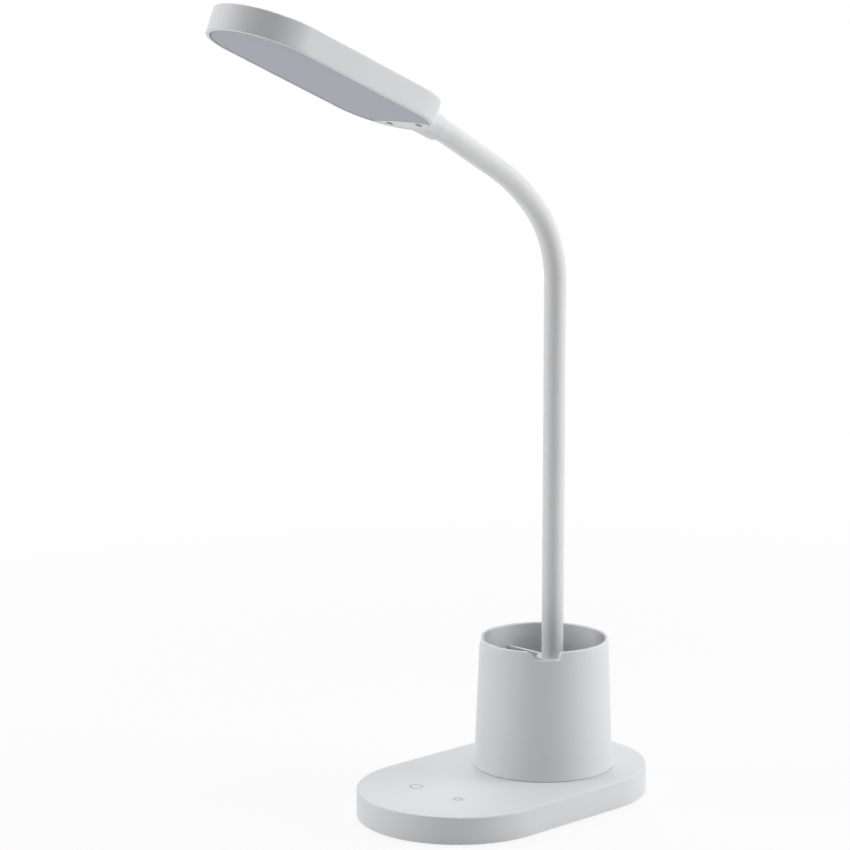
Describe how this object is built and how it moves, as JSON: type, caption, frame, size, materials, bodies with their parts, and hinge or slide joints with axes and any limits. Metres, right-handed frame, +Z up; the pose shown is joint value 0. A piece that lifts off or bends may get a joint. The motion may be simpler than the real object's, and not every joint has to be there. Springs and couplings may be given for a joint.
{
  "type": "desk lamp with organizer cup",
  "caption": "Flexible-neck desk lamp with a long oval light head, on a flat oval base that carries a round tapered pen cup with notches for a phone.",
  "frame": {"origin": "on the organizer cup's axis, in the plane of the non-slip pad that the lamp rests on", "axes": "+Z up, -Y to the front with the touch marks and the head, +X to the user's right"},
  "size_m": [0.107, 0.281, 0.431],
  "materials": {
    "white_plastic": "fine satin moulded texture",
    "diffuser": "smooth milky panel, unlit",
    "silicone": "soft matt skin",
    "pad_rubber": "fine matt",
    "steel": "plain zinc plated",
    "screw_steel": "blackened",
    "board_green": "solder mask",
    "board_white": "white coated",
    "black_plastic": "moulded",
    "led": "clear phosphor gel",
    "ferrite": "sintered",
    "capacitor": "shrink sleeve",
    "foam": "conductive foam",
    "cable_white": "smooth jacket",
    "brass": "turned"
  },
  "bodies": {
    "base": {"base_shell": "white_plastic", "base_cover": "white_plastic", "foot_pad": "pad_rubber", "weight_plate": "steel", "cover_screws": "screw_steel", "control_board": "board_green", "board_screws": "screw_steel", "driver_chip": "black_plastic", "choke": "ferrite", "capacitors": "capacitor", "lead_sockets": "white_plastic", "touch_contacts": "foam", "power_inlet": "black_plastic", "inlet_pin": "brass", "inlet_lead": "cable_white", "lamp_lead": "cable_white", "organizer_cup": "white_plastic", "cup_divider": "white_plastic", "cup_screws": "screw_steel", "root_ferrule": "steel", "root_nut": "steel", "neck_sleeve_0": "silicone", "neck_core_0": "steel", "neck_cable_0": "cable_white"},
    "neck_1": {"neck_sleeve_1": "silicone", "neck_core_1": "steel", "neck_cable_1": "cable_white"},
    "neck_2": {"neck_sleeve_2": "silicone", "neck_core_2": "steel", "neck_cable_2": "cable_white"},
    "neck_3": {"neck_sleeve_3": "silicone", "neck_core_3": "steel", "neck_cable_3": "cable_white"},
    "neck_4": {"neck_sleeve_4": "silicone", "neck_core_4": "steel", "neck_cable_4": "cable_white"},
    "neck_5": {"neck_sleeve_5": "silicone", "neck_core_5": "steel", "neck_cable_5": "cable_white"},
    "neck_6": {"neck_sleeve_6": "silicone", "neck_core_6": "steel", "neck_cable_6": "cable_white"},
    "head": {"neck_sleeve_7": "silicone", "neck_core_7": "steel", "neck_cable_7": "cable_white", "head_shell": "white_plastic", "diffuser": "diffuser", "cover_plate": "white_plastic", "plate_screws": "screw_steel", "neck_clamp": "steel", "head_ferrule": "steel", "led_board": "board_white", "led_chips": "led", "led_screws": "screw_steel", "head_leads": "cable_white"}
  },
  "joints": [
    {"name": "neck_lower_bend", "type": "hinge", "parent": "base", "child": "neck_1", "pos_m": [0, 0.00665, 0.1], "axis": [1, 0, 0], "range_deg": [-20, 20]},
    {"name": "neck_side_bend", "type": "hinge", "parent": "neck_1", "child": "neck_2", "pos_m": [0, 0.00665, 0.14698], "axis": [0, 1, 0], "range_deg": [-15, 15]},
    {"name": "neck_lower_bend_2", "type": "hinge", "parent": "neck_2", "child": "neck_3", "pos_m": [0, 0.00665, 0.19397], "axis": [1, 0, 0], "range_deg": [-20, 20]},
    {"name": "neck_side_bend_2", "type": "hinge", "parent": "neck_3", "child": "neck_4", "pos_m": [0, 0.00665, 0.24095], "axis": [0, 1, 0], "range_deg": [-15, 15]},
    {"name": "neck_upper_bend", "type": "hinge", "parent": "neck_4", "child": "neck_5", "pos_m": [0, 0.00597, 0.2879], "axis": [1, 0, 0], "range_deg": [-30, 25]},
    {"name": "neck_side_bend_3", "type": "hinge", "parent": "neck_5", "child": "neck_6", "pos_m": [0, -0.01731, 0.32751], "axis": [0, 0.6663, 0.7457], "range_deg": [-15, 15]},
    {"name": "neck_upper_bend_2", "type": "hinge", "parent": "neck_6", "child": "head", "pos_m": [0, -0.05683, 0.35267], "axis": [1, 0, 0], "range_deg": [-30, 25]}
  ],
  "couplings": [
    {"joint": "neck_lower_bend_2", "follows": "neck_lower_bend", "ratio": 1},
    {"joint": "neck_side_bend_2", "follows": "neck_side_bend", "ratio": 1},
    {"joint": "neck_side_bend_3", "follows": "neck_side_bend", "ratio": 1},
    {"joint": "neck_upper_bend_2", "follows": "neck_upper_bend", "ratio": 1}
  ]
}
